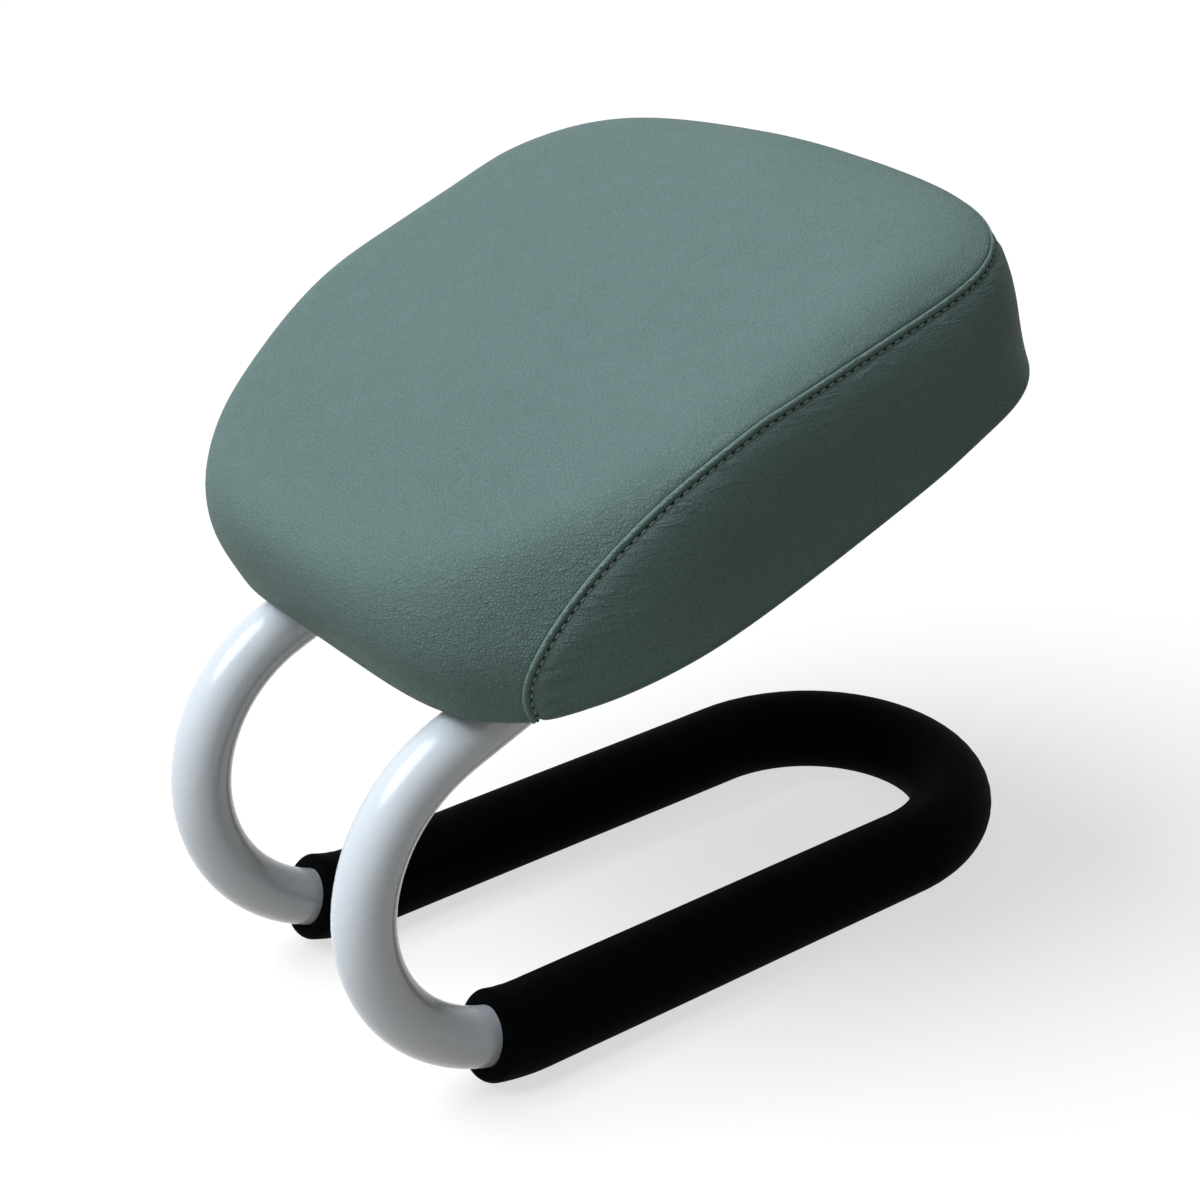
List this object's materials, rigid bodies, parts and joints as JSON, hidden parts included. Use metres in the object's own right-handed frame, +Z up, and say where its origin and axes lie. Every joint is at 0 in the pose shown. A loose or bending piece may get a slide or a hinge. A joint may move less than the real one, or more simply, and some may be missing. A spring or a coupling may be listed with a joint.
{
  "type": "meditation bench",
  "caption": "Kneeling bench: a sloping padded seat on a bent steel tube that runs from a foam-covered floor loop up through two springy front bends",
  "frame": {"origin": "on the floor under the middle of the bench's box", "axes": "+X across the seat to its right-hand side, +Y from the low front edge of the seat to its high back, +Z up from the floor"},
  "size_m": [0.2972, 0.3744, 0.3315],
  "materials": {
    "white_tube": "glossy white powder coat",
    "black_foam": "matt closed-cell foam with fine skin",
    "black_plastic": "matt moulded plastic",
    "bright_steel": "zinc-plated steel",
    "plywood": "plain birch plywood",
    "seat_foam": "cut upholstery foam",
    "top_leather": "sage green pebbled artificial leather",
    "band_leather": "sage green pebbled artificial leather",
    "dust_fabric": "black non-woven cloth"
  },
  "bodies": {
    "root": {"frame_tube": "white_tube", "foam_sleeve": "black_foam", "arm_plugs": "black_plastic", "saddle_spacers": "black_plastic", "saddle_washers": "bright_steel", "seat_bolts": "bright_steel", "tee_nuts": "bright_steel", "seat_board": "plywood", "foam_core": "seat_foam", "cover_top": "top_leather", "cover_band": "band_leather", "dust_cloth": "dust_fabric", "cloth_staples": "bright_steel"}
  },
  "joints": []
}
